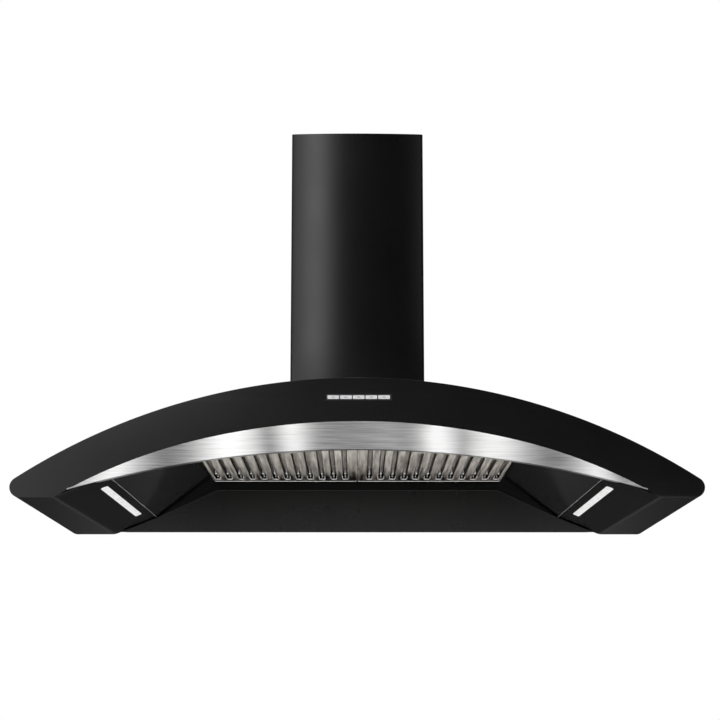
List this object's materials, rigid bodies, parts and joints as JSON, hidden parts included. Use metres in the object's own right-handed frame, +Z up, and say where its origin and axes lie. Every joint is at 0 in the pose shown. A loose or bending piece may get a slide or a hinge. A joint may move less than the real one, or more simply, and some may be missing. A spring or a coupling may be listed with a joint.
{
  "type": "chimney range hood",
  "caption": "Wall-mounted chimney range hood with an arched black canopy, a brushed steel band, baffle filters, a radial blower and a telescopic duct cover.",
  "frame": {"origin": "on the wall face, on the centre line, level with the back plate's lower edge", "axes": "+X to the right seen from the room, +Y into the wall, +Z up"},
  "size_m": [1, 0.556, 0.644],
  "materials": {
    "satin_black_paint": "satin black stove enamel, very finely textured",
    "brushed_band_steel": "stainless steel brushed along its length",
    "filter_steel": "plain rolled stainless steel, dull",
    "lamp_diffuser": "frosted white diffuser",
    "circuit_board": "green circuit board",
    "key_plastic": "silver-white key caps",
    "black_plastic": "moulded black plastic",
    "motor_casing": "dark grey lacquer",
    "bright_steel": "drawn steel rod",
    "zinc_plated_sheet": "zinc plated sheet steel"
  },
  "bodies": {
    "hood": {"canopy_shell": "satin_black_paint", "front_fascia": "satin_black_paint", "steel_band": "brushed_band_steel", "back_plate": "satin_black_paint", "rear_panel": "satin_black_paint", "underside_left": "satin_black_paint", "underside_right": "satin_black_paint", "front_panel": "satin_black_paint", "hinge_rail": "zinc_plated_sheet", "hinge_rod": "bright_steel", "lamp_lens_left": "lamp_diffuser", "lamp_lens_right": "lamp_diffuser", "lamp_channel_left": "zinc_plated_sheet", "lamp_channel_right": "zinc_plated_sheet", "lamp_board_left": "circuit_board", "lamp_board_right": "circuit_board", "key_guide": "black_plastic", "switch_board": "circuit_board", "control_box": "zinc_plated_sheet", "cable_gland": "black_plastic", "lamp_driver": "black_plastic", "blower_casing": "zinc_plated_sheet", "blower_side_left": "zinc_plated_sheet", "blower_side_right": "zinc_plated_sheet", "blower_brackets": "zinc_plated_sheet", "motor": "motor_casing", "motor_spider": "zinc_plated_sheet", "duct_collar": "zinc_plated_sheet", "damper_pin": "bright_steel", "duct_cover": "satin_black_paint", "cover_bracket": "zinc_plated_sheet", "collar_screws": "zinc_plated_sheet", "bracket_screws": "zinc_plated_sheet"},
    "filter_left": {"filter_frame_left": "filter_steel", "lower_baffles_left": "filter_steel", "upper_baffles_left": "filter_steel"},
    "filter_right": {"filter_frame_right": "filter_steel", "lower_baffles_right": "filter_steel", "upper_baffles_right": "filter_steel"},
    "latch_left": {"filter_latch_left": "filter_steel"},
    "latch_right": {"filter_latch_right": "filter_steel"},
    "key_1": {"key_1": "key_plastic"},
    "key_2": {"key_2": "key_plastic"},
    "key_3": {"key_3": "key_plastic"},
    "key_4": {"key_4": "key_plastic"},
    "key_5": {"key_5": "key_plastic"},
    "duct_slider": {"duct_slider": "satin_black_paint"},
    "impeller": {"impeller": "zinc_plated_sheet", "motor_shaft": "bright_steel"},
    "damper_front": {"damper_front": "zinc_plated_sheet"},
    "damper_rear": {"damper_rear": "zinc_plated_sheet"}
  },
  "joints": [
    {"name": "filter_left_swing", "type": "hinge", "parent": "hood", "child": "filter_left", "pos_m": [0, -0.0135, 0.097], "axis": [1, 0, 0], "range_deg": [0, 60]},
    {"name": "filter_right_swing", "type": "hinge", "parent": "hood", "child": "filter_right", "pos_m": [0, -0.0135, 0.097], "axis": [1, 0, 0], "range_deg": [0, 60]},
    {"name": "latch_left_slide", "type": "slide", "parent": "filter_left", "child": "latch_left", "axis": [0, 1, 0], "range_m": [0, 0.004], "stiffness_N_per_m": 400, "springref_m": -0.004},
    {"name": "latch_right_slide", "type": "slide", "parent": "filter_right", "child": "latch_right", "axis": [0, 1, 0], "range_m": [0, 0.004], "stiffness_N_per_m": 400, "springref_m": -0.004},
    {"name": "key_1_press", "type": "slide", "parent": "hood", "child": "key_1", "axis": [0, 1, 0], "range_m": [0, 0.0015], "stiffness_N_per_m": 900, "springref_m": -0.0008},
    {"name": "key_2_press", "type": "slide", "parent": "hood", "child": "key_2", "axis": [0, 1, 0], "range_m": [0, 0.0015], "stiffness_N_per_m": 900, "springref_m": -0.0008},
    {"name": "key_3_press", "type": "slide", "parent": "hood", "child": "key_3", "axis": [0, 1, 0], "range_m": [0, 0.0015], "stiffness_N_per_m": 900, "springref_m": -0.0008},
    {"name": "key_4_press", "type": "slide", "parent": "hood", "child": "key_4", "axis": [0, 1, 0], "range_m": [0, 0.0015], "stiffness_N_per_m": 900, "springref_m": -0.0008},
    {"name": "key_5_press", "type": "slide", "parent": "hood", "child": "key_5", "axis": [0, 1, 0], "range_m": [0, 0.0015], "stiffness_N_per_m": 900, "springref_m": -0.0008},
    {"name": "duct_slider_lift", "type": "slide", "parent": "hood", "child": "duct_slider", "axis": [0, 0, 1], "range_m": [0, 0.25]},
    {"name": "impeller_spin", "type": "hinge", "parent": "hood", "child": "impeller", "pos_m": [0, -0.128, 0.2], "axis": [1, 0, 0], "continuous": true},
    {"name": "damper_front_open", "type": "hinge", "parent": "hood", "child": "damper_front", "pos_m": [0, -0.155, 0.322], "axis": [-1, 0, 0], "range_deg": [0, 75]},
    {"name": "damper_rear_open", "type": "hinge", "parent": "hood", "child": "damper_rear", "pos_m": [0, -0.155, 0.322], "axis": [1, 0, 0], "range_deg": [0, 75]}
  ]
}
